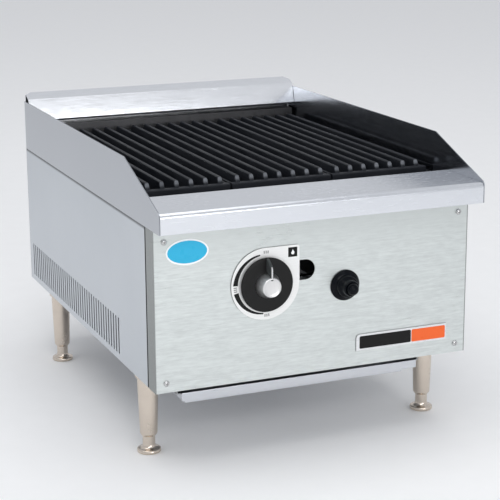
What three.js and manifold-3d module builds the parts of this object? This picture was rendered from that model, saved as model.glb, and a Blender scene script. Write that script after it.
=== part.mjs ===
// Countertop gas charbroiler grill, 400 mm class, with one burner control.
// Millimetres. X runs to the right, Y to the back and Z up. The origin is on the floor under the
// middle of the grill's box.

import * as THREE from 'three';
import { mergeVertices } from 'three/addons/utils/BufferGeometryUtils.js';
import Module from 'manifold-3d';

const wasm = await Module();
wasm.setup();

// ---------- driving dimensions ----------

const GUARD_WIDTH = 400;        // across the two splash guards
const CABINET_WIDTH = 394;      // across the two side panels
const CABINET_BOTTOM = 97;      // floor to the underside of the cabinet
const LEDGE_BOTTOM = 286;
const LEDGE_TOP = 310;
const GUARD_TOP = 352;
const SPLASH_TOP = 364;

const LEDGE_FRONT = -295.5;
const PANEL_FRONT = -264;       // outer face of the front panel
const LEDGE_BACK = -211;
const GUARD_BACK = 264;
const CABINET_BACK = 276;
const INLET_END = 295.5;        // end of the gas inlet nipple

const SHEET = 1.2;              // cabinet sheet steel
const THICK_SHEET = 1.5;        // front panel and ledge
const GAP = 0.3;                // between two pieces that touch

const CONTROL_X = -64;          // burner control and valve
const CONTROL_Z = 210.4;
const IGNITER_X = 36;
const IGNITER_Z = 197.5;

const GRATE_COUNT = 3;
const GRATE_PITCH = 130;
const GRATE_WIDTH = 128;
const GRATE_FRONT = -167;
const GRATE_BACK = 236;
const GRATE_BOTTOM = 297;
const GRATE_TOP = 314.5;
const BAR_PITCH = 18;
const BAR_WIDTH = 6;
const BARS_PER_GRATE = 7;

const LEG_X = 181.5;
const LEG_FRONT_Y = -190;
const LEG_BACK_Y = 181;

const TRAY_HALF_WIDTH = 142.5;
const TRAY_FRONT = -208;
const TRAY_BACK = 240;
const TRAY_BOTTOM = 60;
const TRAY_RIM = 79.8;

// ---------- materials ----------

function metal(color, roughness) {
  return new THREE.MeshStandardMaterial({ color, roughness, metalness: 1 });
}

function plain(color, roughness) {
  return new THREE.MeshStandardMaterial({ color, roughness, metalness: 0 });
}

const brushed = metal(0xd7dedc, 0.32);
const satin = metal(0xb4b8c0, 0.36);
const galvanised = metal(0x9a9ea2, 0.5);
const nickel = metal(0xb4a89e, 0.25);
const castIron = metal(0x1a1c20, 0.6);
const brass = metal(0xc2a04c, 0.35);
const pipeSteel = metal(0x6e6c68, 0.5);
const aluminium = metal(0xc4c5c6, 0.3);
const blackPlastic = plain(0x161819, 0.35);
const ceramic = plain(0xe9e4da, 0.5);
const copperTube = metal(0xb9774f, 0.35);
const dialWhite = metal(0xe8eae8, 0.35);
const badgeSilver = metal(0xd0d2d4, 0.3);
const stickerBlue = plain(0x2c8fc4, 0.4);

// ---------- shape helpers ----------

const BEND_STEPS = 4;
const X_AXIS = new THREE.Vector3(1, 0, 0);
const Y_AXIS = new THREE.Vector3(0, 1, 0);
const Z_AXIS = new THREE.Vector3(0, 0, 1);

// A closed geometry as a manifold solid: shared corners are merged and slivers dropped.
function solid(geometry) {
  const bare = geometry.clone();
  bare.deleteAttribute('normal');
  bare.deleteAttribute('uv');
  const merged = mergeVertices(bare, 1e-4);
  const index = merged.index.array;
  const kept = [];
  for (let i = 0; i < index.length; i += 3) {
    const [a, b, c] = [index[i], index[i + 1], index[i + 2]];
    if (a !== b && b !== c && c !== a) kept.push(a, b, c);
  }
  const mesh = new wasm.Mesh({
    numProp: 3,
    vertProperties: new Float32Array(merged.attributes.position.array),
    triVerts: new Uint32Array(kept),
  });
  return new wasm.Manifold(mesh);
}

function geometryOf(body) {
  const mesh = body.getMesh();
  const geometry = new THREE.BufferGeometry();
  geometry.setAttribute('position', new THREE.BufferAttribute(mesh.vertProperties, 3));
  geometry.setIndex(new THREE.BufferAttribute(mesh.triVerts, 1));
  geometry.computeVertexNormals();
  return geometry;
}

function join(...bodies) {
  return bodies.reduce((whole, body) => whole.add(body));
}

function cut(body, ...tools) {
  return tools.reduce((whole, tool) => whole.subtract(tool), body);
}

function block([x0, x1], [y0, y1], [z0, z1]) {
  const box = new THREE.BoxGeometry(Math.abs(x1 - x0), Math.abs(y1 - y0), Math.abs(z1 - z0));
  box.translate((x0 + x1) / 2, (y0 + y1) / 2, (z0 + z1) / 2);
  return solid(box);
}

// The same span of x on the left (side -1) or on the right (side 1).
function across(side, inner, outer) {
  return side < 0 ? [-outer, -inner] : [inner, outer];
}

function extruded(shape, length, basis, start) {
  const settings = { depth: length, bevelEnabled: false };
  const geometry = new THREE.ExtrudeGeometry(shape, settings);
  geometry.applyMatrix4(new THREE.Matrix4().makeBasis(...basis));
  geometry.translate(start.x, start.y, start.z);
  return solid(geometry);
}

function shapeOf(points) {
  return new THREE.Shape(points.map(([u, v]) => new THREE.Vector2(u, v)));
}

// An outline of [y, z] points, carried along X.
function alongX(outline, x0, x1) {
  return extruded(shapeOf(outline), x1 - x0, [Y_AXIS, Z_AXIS, X_AXIS], new THREE.Vector3(x0, 0, 0));
}

// An outline of [x, z] points, or a shape, carried along Y.
function alongY(outline, y0, y1) {
  const shape = Array.isArray(outline) ? shapeOf(outline) : outline;
  const basis = [X_AXIS, Z_AXIS, Y_AXIS.clone().negate()];
  return extruded(shape, y1 - y0, basis, new THREE.Vector3(0, y1, 0));
}

// The outline of a folded sheet: a path and its copy one thickness to its left.
function folded(path, thickness) {
  const directions = path.slice(1).map((point, i) => {
    const step = new THREE.Vector2(point[0] - path[i][0], point[1] - path[i][1]);
    return step.normalize();
  });
  const offset = path.map(([u, v], i) => {
    const before = directions[Math.max(i - 1, 0)];
    const after = directions[Math.min(i, directions.length - 1)];
    const normal = new THREE.Vector2(-before.y - after.y, before.x + after.x).normalize();
    const reach = thickness / (normal.x * -after.y + normal.y * after.x);
    return [u + normal.x * reach, v + normal.y * reach];
  });
  return [...path, ...offset.reverse()];
}

// Points of a circular arc, for an outline.
function arc(u, v, radius, from, to, steps = 6) {
  const points = [];
  for (let i = 0; i <= steps; i += 1) {
    const angle = THREE.MathUtils.degToRad(from + ((to - from) * i) / steps);
    points.push([u + radius * Math.cos(angle), v + radius * Math.sin(angle)]);
  }
  return points;
}

// A turned body from a profile of [radius, height] points, standing along +Z at a place.
function turned(profile, x, y, z, sides = 24) {
  const lathe = new THREE.LatheGeometry(profile.map(([r, h]) => new THREE.Vector2(r, h)), sides);
  lathe.rotateX(Math.PI / 2);
  lathe.translate(x, y, z);
  return solid(lathe);
}

// A turned body that faces the front: heights in the profile run towards -Y.
function turnedForward(profile, x, y, z, sides = 24) {
  const lathe = new THREE.LatheGeometry(profile.map(([r, h]) => new THREE.Vector2(r, h)), sides);
  lathe.rotateZ(Math.PI);
  lathe.translate(x, y, z);
  return solid(lathe);
}

function rod(radius, length) {
  return [[0, 0], [radius, 0], [radius, length], [0, length]];
}

function sleeve(inner, outer, length) {
  return [[inner, 0], [outer, 0], [outer, length], [inner, length], [inner, 0]];
}

// A cylinder along Y from y0 back to y1.
function rodY(radius, x, z, y0, y1, sides = 24) {
  return turnedForward(rod(radius, y1 - y0), x, y1, z, sides);
}

// A route through given points, in even steps from point to point.
class Route extends THREE.Curve {
  constructor(points) {
    super();
    this.points = points;
  }

  indexAt(t) {
    return Math.round(t * (this.points.length - 1));
  }

  getPointAt(t) {
    return this.points[this.indexAt(t)].clone();
  }

  getTangentAt(t) {
    const i = this.indexAt(t);
    const last = this.points.length - 1;
    const here = this.points[i];
    const arriving = here.clone().sub(this.points[Math.max(i - 1, 0)]).normalize();
    const leaving = this.points[Math.min(i + 1, last)].clone().sub(here).normalize();
    return arriving.add(leaving).normalize();
  }
}

// A round rod or pipe that follows straight runs joined by bends.
function pipe(corners, radius, bendRadius, sides = 10) {
  const places = corners.map((corner) => new THREE.Vector3(...corner));
  const points = [places[0]];
  for (let i = 1; i < places.length - 1; i += 1) {
    const corner = places[i];
    const start = places[i - 1].clone().sub(corner).setLength(bendRadius).add(corner);
    const end = places[i + 1].clone().sub(corner).setLength(bendRadius).add(corner);
    points.push(...new THREE.QuadraticBezierCurve3(start, corner, end).getPoints(BEND_STEPS));
  }
  points.push(places.at(-1));
  const section = shapeOf(arc(0, 0, radius, 0, 360 - 360 / sides, sides - 1));
  const settings = { steps: points.length - 1, extrudePath: new Route(points), bevelEnabled: false };
  return solid(new THREE.ExtrudeGeometry(section, settings));
}

const grill = new THREE.Group();

function add(name, body, material) {
  const mesh = new THREE.Mesh(geometryOf(body), material);
  mesh.name = name;
  grill.add(mesh);
}

const sides = [[-1, 'left'], [1, 'right']];

// ---------- cabinet ----------

const VENT_COUNT = 40;
const VENT_PITCH = 10;
const VENT_WIDTH = 4;
const VENT_FIRST_Y = -133;
const VENT_BOTTOM = 105;
const VENT_TOP = 150;
const REAR_VENTS = { count: 17, pitch: 18, width: 6, bottom: 118, top: 158 };
const SEAM_Y = -238.5;          // front edge of a side panel's outer wall
const SEAM_WIDTH = 2.2;         // open joint between that edge and the front panel's return
const SIDE_TOP = 300;
const FACE_TOP = 300;           // top of the front panel, inside the ledge
const SIDE_FLANGE = 20;
const FRONT_FLANGE = 14;
const INSIDE_GUARDS = GUARD_WIDTH / 2 - SHEET - GAP;
const SCREW_X = 184;
const SCREW_HEIGHTS = [['lower', 108], ['upper', 270.5]];
const FLANGE_FRONT = PANEL_FRONT + THICK_SHEET + GAP;
const SCREW_CLEARANCE = 2.3;

const BACK_TOP = LEDGE_BOTTOM - 1;
const LEG_STUD = 5;
const legPlaces = [['front_left', -LEG_X, LEG_FRONT_Y], ['front_right', LEG_X, LEG_FRONT_Y],
  ['rear_left', -LEG_X, LEG_BACK_Y], ['rear_right', LEG_X, LEG_BACK_Y]];

function legsOn(side) {
  return legPlaces.filter(([, x]) => Math.sign(x) === side);
}

// Holes for the studs of the legs on one side, through the floor flange and the base rail.
function studHoles(side) {
  const hole = rod(LEG_STUD + GAP, 30);
  return legsOn(side).map(([, x, y]) => turned(hole, x, y, CABINET_BOTTOM - 5, 16));
}

function screwHoles(side) {
  const y = [PANEL_FRONT - 2, PANEL_FRONT + FRONT_FLANGE];
  return SCREW_HEIGHTS.map(([, z]) => rodY(SCREW_CLEARANCE, side * SCREW_X, z, ...y, 12));
}

// A side panel: outer wall with slots, a stepped-in lap behind the front panel, and flanges.
function sidePanel(side) {
  const outer = CABINET_WIDTH / 2;
  const back = CABINET_BACK - SHEET - GAP;
  const wallOutline = [[SEAM_Y, CABINET_BOTTOM], [back, CABINET_BOTTOM], [back, BACK_TOP - GAP],
    [GUARD_BACK - 2, BACK_TOP - GAP], [GUARD_BACK - 2, SIDE_TOP], [SEAM_Y, SIDE_TOP]];
  const wall = alongX(wallOutline, ...across(side, outer - SHEET, outer));
  const lapDepth = outer - THICK_SHEET - GAP;
  const lapHeight = [CABINET_BOTTOM + 2, BACK_TOP];
  const stepWidth = across(side, lapDepth - SHEET, outer - 1);
  const step = block(stepWidth, [SEAM_Y, SEAM_Y + 14], lapHeight);
  const lapWidth = across(side, lapDepth - SHEET, lapDepth);
  const lap = block(lapWidth, [FLANGE_FRONT, SEAM_Y + 2], lapHeight);
  const flangeWidth = across(side, SCREW_X - 10, lapDepth);
  const frontFlange = block(flangeWidth, [FLANGE_FRONT, FLANGE_FRONT + SHEET], lapHeight);
  const bottomHeight = [CABINET_BOTTOM, CABINET_BOTTOM + THICK_SHEET];
  const bottomFlange = block(across(side, outer - SIDE_FLANGE, outer), [SEAM_Y, back], bottomHeight);
  const topWidth = across(side, outer - SHEET, INSIDE_GUARDS);
  const topHeight = [SIDE_TOP - SHEET, SIDE_TOP];
  const topFlange = block(topWidth, [LEDGE_BACK + 2, GUARD_BACK - 2], topHeight);
  const slots = [];
  for (let i = 0; i < VENT_COUNT; i += 1) {
    const y = VENT_FIRST_Y + i * VENT_PITCH;
    const width = [y - VENT_WIDTH / 2, y + VENT_WIDTH / 2];
    slots.push(block(across(side, outer - 3, outer + 2), width, [VENT_BOTTOM, VENT_TOP]));
  }
  const body = join(wall, step, lap, frontFlange, bottomFlange, topFlange);
  return cut(body, join(...slots), ...screwHoles(side), ...studHoles(side));
}

for (const [side, word] of sides) add(`${word}_side_panel`, sidePanel(side), satin);

const PORT_X = -14;             // lighting port beside the control
const PORT_Z = 221.5;
const PORT_RADIUS = 11.9;
const PORT_LENGTH = 14;         // straight part, which runs behind the control's plate
const STEM_HOLE = 7;
const IGNITER_HOLE = 10.4;

// The front panel is a tray of sheet: a face with returned sides and bottom.
function frontPanel() {
  const outer = CABINET_WIDTH / 2;
  const back = PANEL_FRONT + THICK_SHEET;
  const height = [CABINET_BOTTOM, FACE_TOP];
  const face = block([-outer, outer], [PANEL_FRONT, back], height);
  const returns = sides.map(([side]) => {
    return block(across(side, outer - THICK_SHEET, outer), [PANEL_FRONT, SEAM_Y - SEAM_WIDTH], height);
  });
  const bottom = block([-outer, outer], [PANEL_FRONT, PANEL_FRONT + FRONT_FLANGE],
    [CABINET_BOTTOM, CABINET_BOTTOM + THICK_SHEET]);
  const portShape = shapeOf([
    [PORT_X - PORT_LENGTH, PORT_Z + PORT_RADIUS],
    [PORT_X - PORT_LENGTH, PORT_Z - PORT_RADIUS],
    ...arc(PORT_X, PORT_Z, PORT_RADIUS, -90, 90, 12),
  ]);
  const through = [PANEL_FRONT - 1, back + 1];
  const port = alongY(portShape, ...through);
  const stemHole = rodY(STEM_HOLE, CONTROL_X, CONTROL_Z, ...through);
  const igniterHole = rodY(IGNITER_HOLE, IGNITER_X, IGNITER_Z, ...through);
  const holes = [port, stemHole, igniterHole, ...screwHoles(-1), ...screwHoles(1)];
  return cut(join(face, ...returns, bottom), ...holes);
}
add('front_panel', frontPanel(), brushed);

const BETWEEN_SIDES = CABINET_WIDTH / 2 - 2;
const INLET_X = 181;
const PIPE_Z = 170;
const PIPE_RADIUS = 10.7;       // half-inch gas pipe

function backPanel() {
  const half = CABINET_WIDTH / 2;
  const inner = CABINET_BACK - SHEET;
  const plate = block([-half, half], [inner, CABINET_BACK], [CABINET_BOTTOM, BACK_TOP]);
  const topWidth = [-BETWEEN_SIDES, BETWEEN_SIDES];
  const top = block(topWidth, [GUARD_BACK + GAP, CABINET_BACK], [BACK_TOP - SHEET, BACK_TOP]);
  const through = [inner - 1, CABINET_BACK + 1];
  const slots = [];
  for (let i = 0; i < REAR_VENTS.count; i += 1) {
    const x = (i - (REAR_VENTS.count - 1) / 2) * REAR_VENTS.pitch;
    const width = [x - REAR_VENTS.width / 2, x + REAR_VENTS.width / 2];
    slots.push(block(width, through, [REAR_VENTS.bottom, REAR_VENTS.top]));
  }
  const inlet = rodY(PIPE_RADIUS + 1, INLET_X, PIPE_Z, ...through);
  return cut(join(plate, top), join(...slots), inlet);
}
add('back_panel', backPanel(), galvanised);

// The front ledge: a folded sheet with a rolled front edge.
const LEDGE_ROLL = 6;
const ledgePath = [
  [PANEL_FRONT - GAP, LEDGE_BOTTOM + THICK_SHEET],
  [LEDGE_FRONT + THICK_SHEET, LEDGE_BOTTOM + THICK_SHEET],
  ...arc(LEDGE_FRONT + LEDGE_ROLL, LEDGE_TOP - LEDGE_ROLL, LEDGE_ROLL - THICK_SHEET, 180, 90),
  [LEDGE_BACK - THICK_SHEET, LEDGE_TOP - THICK_SHEET],
  [LEDGE_BACK - THICK_SHEET, SIDE_TOP + GAP],
];
add('front_ledge', alongX(folded(ledgePath, THICK_SHEET), -INSIDE_GUARDS, INSIDE_GUARDS), brushed);

// A splash guard is full height along the grates, then slopes down to the ledge's front edge.
const GUARD_SLOPE_BACK = -179.5;
const guardOutline = [
  [LEDGE_FRONT, LEDGE_BOTTOM],
  [GUARD_BACK, LEDGE_BOTTOM],
  [GUARD_BACK, GUARD_TOP],
  [GUARD_SLOPE_BACK, GUARD_TOP],
  [LEDGE_FRONT + 3, LEDGE_TOP + 1.5],
  [LEDGE_FRONT, LEDGE_TOP - 2],
];
for (const [side, word] of sides) {
  const [inner, outer] = across(side, GUARD_WIDTH / 2 - SHEET, GUARD_WIDTH / 2);
  add(`${word}_splash_guard`, alongX(guardOutline, inner, outer), satin);
}

// The back splash: a face that leans back a little and rolls under at the bottom, a sloping top
// strip, and a skirt down the back that narrows to pass between the side panels.
const SPLASH_FOOT = 239.5;
const SPLASH_BOTTOM = 325.5;
const SPLASH_ROLL = 4;
const SPLASH_BEND = [246.5, 356.3];
const SPLASH_CLIP = { width: 8, height: 3.5 };
const SKIRT_BOTTOM = 280;
const splashPath = [
  [SPLASH_FOOT + 18, SPLASH_BOTTOM],
  ...arc(SPLASH_FOOT + SPLASH_ROLL, SPLASH_BOTTOM + SPLASH_ROLL, SPLASH_ROLL, 270, 180, 4),
  SPLASH_BEND,
  [GUARD_BACK, SPLASH_TOP],
  [GUARD_BACK, SIDE_TOP + GAP],
];
function backSplash() {
  const sheet = alongX(folded(splashPath, -SHEET), -INSIDE_GUARDS, INSIDE_GUARDS);
  const skirtWidth = [-BETWEEN_SIDES, BETWEEN_SIDES];
  const skirt = block(skirtWidth, [GUARD_BACK - SHEET, GUARD_BACK], [SKIRT_BOTTOM, SIDE_TOP + 2]);
  const clips = sides.map(([side]) => alongY([
    [side * (INSIDE_GUARDS + 1), SPLASH_TOP + 1],
    [side * (INSIDE_GUARDS - SPLASH_CLIP.width), SPLASH_TOP + 1],
    [side * (INSIDE_GUARDS - SPLASH_CLIP.width), SPLASH_TOP],
    [side * (INSIDE_GUARDS + 1), SPLASH_TOP - SPLASH_CLIP.height],
  ], SPLASH_FOOT, GUARD_BACK + 2));
  return cut(join(sheet, skirt), ...clips);
}
add('back_splash', backSplash(), brushed);

// ---------- base frame and tray runners ----------

const RAIL_BOTTOM = CABINET_BOTTOM + THICK_SHEET + GAP;
const RAIL_THICKNESS = 3;
const RAIL_INNER = 163;
const RAIL_OUTER = 189;
const RAIL_FRONT = -249;
const RAIL_HEIGHT = 16;
const CROSS_RAIL = { depth: 24, thickness: 2 };
const STUD_NUT = { radius: 9, height: 8 };

function baseSideRail(side) {
  const y = [RAIL_FRONT, CABINET_BACK - SHEET - GAP];
  const plateTop = RAIL_BOTTOM + RAIL_THICKNESS;
  const plate = block(across(side, RAIL_INNER, RAIL_OUTER), y, [RAIL_BOTTOM, plateTop]);
  const upstand = block(across(side, RAIL_INNER, RAIL_INNER + RAIL_THICKNESS), y,
    [RAIL_BOTTOM, RAIL_BOTTOM + RAIL_HEIGHT]);
  const nut = rod(STUD_NUT.radius, STUD_NUT.height + 1);
  const nuts = legsOn(side).map(([, x, y0]) => turned(nut, x, y0, plateTop - 1, 6));
  return cut(join(plate, upstand, ...nuts), ...studHoles(side));
}
for (const [side, word] of sides) add(`base_${word}_rail`, baseSideRail(side), galvanised);

// A cross rail is an angle between the side rails. Its upright stands on the side of the firebox.
function baseCrossRail(y0, uprightY) {
  const { depth, thickness } = CROSS_RAIL;
  const x = [-(RAIL_INNER - GAP), RAIL_INNER - GAP];
  const plate = block(x, [y0, y0 + depth], [RAIL_BOTTOM, RAIL_BOTTOM + thickness]);
  const upright = [uprightY, uprightY + thickness];
  return join(plate, block(x, upright, [RAIL_BOTTOM, RAIL_BOTTOM + RAIL_HEIGHT]));
}
const REAR_RAIL_FRONT = 250;
const frontUpright = RAIL_FRONT + CROSS_RAIL.depth - CROSS_RAIL.thickness;
add('base_front_rail', baseCrossRail(RAIL_FRONT, frontUpright), galvanised);
add('base_rear_rail', baseCrossRail(REAR_RAIL_FRONT, REAR_RAIL_FRONT), galvanised);

// A runner hangs from a base rail and carries the rim of the drip tray.
const RUNNER_WEB = 156;
const TRAY_RIM_HALF_WIDTH = 152.7;
const RUNNER_LIP = TRAY_RIM - SHEET - GAP;
const RUNNER_OUTER = 170;
const RUNNER_INNER = 145;
const RUNNER_FRONT = -222;
const RUNNER_BACK = 246;
function trayRunner(side) {
  const y = [RUNNER_FRONT, RUNNER_BACK];
  const topZ = RAIL_BOTTOM - GAP;
  const lipZ = RUNNER_LIP - SHEET;
  const top = block(across(side, RUNNER_WEB, RUNNER_OUTER), y, [topZ - SHEET, topZ]);
  const web = block(across(side, RUNNER_WEB, RUNNER_WEB + SHEET), y, [lipZ, topZ]);
  const lip = block(across(side, RUNNER_INNER, RUNNER_WEB + SHEET), y, [lipZ, RUNNER_LIP]);
  return join(top, web, lip);
}
for (const [side, word] of sides) add(`tray_${word}_runner`, trayRunner(side), galvanised);

// ---------- drip tray ----------

const TRAY_LIP_FRONT = -227;
const TRAY_LIP_DROP = 10;
const TRAY_RIM_BACK = TRAY_BACK + 6;
function dripTray() {
  const half = TRAY_HALF_WIDTH;
  const inside = half - SHEET;
  const rimX = [-TRAY_RIM_HALF_WIDTH, TRAY_RIM_HALF_WIDTH];
  const pan = block([-half, half], [TRAY_FRONT, TRAY_BACK], [TRAY_BOTTOM, TRAY_RIM]);
  const rim = block(rimX, [TRAY_LIP_FRONT, TRAY_RIM_BACK], [TRAY_RIM - SHEET, TRAY_RIM]);
  const hollow = block([-inside, inside], [TRAY_FRONT + SHEET, TRAY_BACK - SHEET],
    [TRAY_BOTTOM + SHEET, TRAY_RIM + 1]);
  const lip = block(rimX, [TRAY_LIP_FRONT, TRAY_LIP_FRONT + SHEET],
    [TRAY_RIM - TRAY_LIP_DROP, TRAY_RIM]);
  return join(cut(join(pan, rim), hollow), lip);
}
add('drip_tray', dripTray(), satin);

// ---------- legs and feet ----------

const LEG_TOP = CABINET_BOTTOM - GAP;
const FOOT_STEM = 7.5;
const STEM_TOP = 54;
const SOCKET_TOP = 58;          // the socket in the leg that the foot's stem slides in
const STUD_TOP = 108;
const LEG_SIDES = 22;
const legProfile = [
  [FOOT_STEM + GAP, 20.5], [8.6, 20.5], [10.3, 23.5], [12.5, 92.5], [15, 93.4], [15, LEG_TOP],
  [LEG_STUD, LEG_TOP], [LEG_STUD, STUD_TOP], [0, STUD_TOP], [0, SOCKET_TOP],
  [FOOT_STEM + GAP, SOCKET_TOP], [FOOT_STEM + GAP, 20.5],
];
const footProfile = [
  [0, 0], [13.2, 0], [14.3, 1.2], [14.3, 4], [13.4, 4.9], [8.6, 6], [FOOT_STEM, 8.5],
  [FOOT_STEM, STEM_TOP], [0, STEM_TOP],
];
for (const [word, x, y] of legPlaces) {
  add(`${word}_leg`, turned(legProfile, x, y, 0, LEG_SIDES), nickel);
  add(`${word}_foot`, turned(footProfile, x, y, 0, LEG_SIDES), nickel);
}

// ---------- firebox ----------

const FIREBOX_HALF = 165;
const FIREBOX_BOTTOM = 120;
const SEAT_TOP = GRATE_BOTTOM - GAP;
const WALL_FRONT = -155;
const WALL_BACK = 216;
const LINER_TOP = SEAT_TOP - 3;
const SHELF_HALF = BETWEEN_SIDES;
const LINER_KNEE = 150;         // where the liners start to slope in
const BURNER_X = 85;
const BURNER_PIN = 5;
const THROAT_RADIUS = 13;

const WALL_OPENING_TOP = 236;

// The front wall carries the grates on a shelf. One opening lets the burner throat through, and
// one the pilot lines and a lighting taper.
function fireboxFrontWall() {
  const y = [WALL_FRONT, WALL_FRONT + SHEET];
  const through = [WALL_FRONT - 1, WALL_FRONT + SHEET + 1];
  const half = FIREBOX_HALF - GAP;
  const shelfY = [LEDGE_BACK + GAP, y[1]];
  const shelf = block([-SHELF_HALF, SHELF_HALF], shelfY, [SEAT_TOP - SHEET, SEAT_TOP]);
  const wall = block([-half, half], y, [FIREBOX_BOTTOM, SEAT_TOP]);
  const throatOpening = block([CONTROL_X - 16, CONTROL_X + 16], through,
    [CONTROL_Z - THROAT_RADIUS - GAP, WALL_OPENING_TOP]);
  const linesOpening = block([-30, 50], through, [172, WALL_OPENING_TOP]);
  return cut(join(shelf, wall), throatOpening, linesOpening);
}
add('firebox_front_wall', fireboxFrontWall(), galvanised);

// The rear wall carries the grates too, and turns up behind them towards the splash.
const UPSTAND_Y = 239;
const UPSTAND_TOP = 321;
function fireboxRearWall() {
  const path = [[WALL_BACK, SEAT_TOP], [UPSTAND_Y, SEAT_TOP], [UPSTAND_Y, UPSTAND_TOP],
    [GUARD_BACK - SHEET - GAP, UPSTAND_TOP]];
  const ledge = alongX(folded(path, -SHEET), -SHELF_HALF, SHELF_HALF);
  const half = FIREBOX_HALF - GAP;
  const wall = block([-half, half], [WALL_BACK, WALL_BACK + SHEET], [FIREBOX_BOTTOM, SEAT_TOP]);
  const through = [WALL_BACK - 1, WALL_BACK + 3];
  const pinHoles = [-BURNER_X, BURNER_X].map((x) => {
    return rodY(BURNER_PIN + GAP, x, CONTROL_Z, ...through, 14);
  });
  return cut(join(ledge, wall), ...pinHoles);
}
add('firebox_rear_wall', fireboxRearWall(), galvanised);

// A liner slopes in at the bottom, so that fat drips into the tray.
function fireboxLiner(side) {
  const path = [
    [side * SHELF_HALF, LINER_TOP],
    [side * FIREBOX_HALF, LINER_TOP],
    [side * FIREBOX_HALF, LINER_KNEE],
    [side * (TRAY_HALF_WIDTH - 6), FIREBOX_BOTTOM],
  ];
  return alongY(folded(path, side * SHEET), WALL_FRONT + SHEET + GAP, WALL_BACK - GAP);
}
for (const [side, word] of sides) add(`firebox_${word}_liner`, fireboxLiner(side), galvanised);

// ---------- cooking grates ----------

const RAIL_TOP = 307;
const FRONT_RAIL_DEPTH = 9;
const REAR_RAIL_DEPTH = 8;
const SIDE_RAIL_WIDTH = 4;
const TIE_DEPTH = 7;
const TIE_FRONTS = [-62, 50, 140];
const barOutline = [
  [GRATE_FRONT + 3, GRATE_BOTTOM + 2],
  [GRATE_FRONT + 3, RAIL_TOP - 1],
  [GRATE_FRONT + 7, RAIL_TOP],
  [GRATE_FRONT + FRONT_RAIL_DEPTH, GRATE_TOP],
  [GRATE_BACK - REAR_RAIL_DEPTH, GRATE_TOP],
  [GRATE_BACK - 3, RAIL_TOP],
  [GRATE_BACK - 3, GRATE_BOTTOM + 2],
];
const frontRailOutline = [
  [GRATE_FRONT, GRATE_BOTTOM],
  [GRATE_FRONT + FRONT_RAIL_DEPTH, GRATE_BOTTOM],
  [GRATE_FRONT + FRONT_RAIL_DEPTH, RAIL_TOP],
  [GRATE_FRONT + 3, RAIL_TOP],
  [GRATE_FRONT, RAIL_TOP - 4],
];

function grate(centre) {
  const half = GRATE_WIDTH / 2;
  const [left, right] = [centre - half, centre + half];
  const frontRail = alongX(frontRailOutline, left, right);
  const rearRail = block([left, right], [GRATE_BACK - REAR_RAIL_DEPTH, GRATE_BACK],
    [GRATE_BOTTOM, RAIL_TOP]);
  const sideRails = [left, right - SIDE_RAIL_WIDTH].map((x) => {
    return block([x, x + SIDE_RAIL_WIDTH], [GRATE_FRONT + 2, GRATE_BACK - 2],
      [GRATE_BOTTOM + 1.5, RAIL_TOP - 0.5]);
  });
  const ties = TIE_FRONTS.map((y) => {
    return block([left + 1, right - 1], [y, y + TIE_DEPTH], [GRATE_BOTTOM + 1, GRATE_BOTTOM + 6]);
  });
  const bars = [];
  for (let i = 0; i < BARS_PER_GRATE; i += 1) {
    const x = centre + (i - (BARS_PER_GRATE - 1) / 2) * BAR_PITCH;
    bars.push(alongX(barOutline, x - BAR_WIDTH / 2, x + BAR_WIDTH / 2));
  }
  return join(frontRail, rearRail, ...sideRails, ...ties, ...bars);
}
['left', 'centre', 'right'].forEach((word, i) => {
  add(`${word}_grate`, grate((i - (GRATE_COUNT - 1) / 2) * GRATE_PITCH), castIron);
});

// ---------- burner, radiants and pilot ----------

const BURNER_RADIUS = 17;
const BURNER_WALL = 2.5;
const BURNER_FRONT = -122;
const BURNER_BACK = 192;
const THROAT_FRONT = -196;
const CROSS_RADIUS = 14;
const BURNER_PORTS = { count: 9, first: BURNER_FRONT + 22, pitch: 34, length: 18 };
const BURNER_SIDES = 16;

// Two tubes joined by a cross tube at the front, fed by one throat. The shape is made once at its
// full radius and once smaller, which is the hollow.
function burnerForm(shrink) {
  const tubeY = [BURNER_FRONT - 6 + shrink, BURNER_BACK - shrink];
  const tubes = [-BURNER_X, BURNER_X].map((x) => {
    return rodY(BURNER_RADIUS - shrink, x, CONTROL_Z, ...tubeY, BURNER_SIDES);
  });
  const crossRadius = CROSS_RADIUS - shrink;
  const cross = new THREE.CylinderGeometry(crossRadius, crossRadius, 2 * BURNER_X, BURNER_SIDES);
  cross.rotateZ(Math.PI / 2);
  cross.translate(0, BURNER_FRONT, CONTROL_Z);
  const throatY = [THROAT_FRONT - shrink, BURNER_FRONT];
  const throat = rodY(THROAT_RADIUS - shrink, CONTROL_X, CONTROL_Z, ...throatY, BURNER_SIDES);
  return join(...tubes, solid(cross), throat);
}

function burner() {
  const ports = [];
  for (const x of [-BURNER_X, BURNER_X]) {
    for (let i = 0; i < BURNER_PORTS.count; i += 1) {
      const y = BURNER_PORTS.first + i * BURNER_PORTS.pitch;
      const length = [y, y + BURNER_PORTS.length];
      ports.push(block([x - 30, x + 30], length, [CONTROL_Z + 9, CONTROL_Z + 11]));
    }
  }
  const carryOver = block([-50, 50], [BURNER_FRONT + 9, BURNER_FRONT + 11],
    [CONTROL_Z + 5, CONTROL_Z + CROSS_RADIUS]);
  const pins = [-BURNER_X, BURNER_X].map((x) => {
    return rodY(BURNER_PIN, x, CONTROL_Z, BURNER_BACK - 1, WALL_BACK + 6, 14);
  });
  const shell = cut(burnerForm(0), burnerForm(BURNER_WALL), ...ports, carryOver, airWindows());
  return join(shell, ...pins);
}
add('burner', burner(), castIron);

// Slots on both sides of the throat that let air in.
function airWindows() {
  return block([CONTROL_X - 30, CONTROL_X + 30], [-191, -181], [CONTROL_Z - 4, CONTROL_Z + 4]);
}

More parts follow.
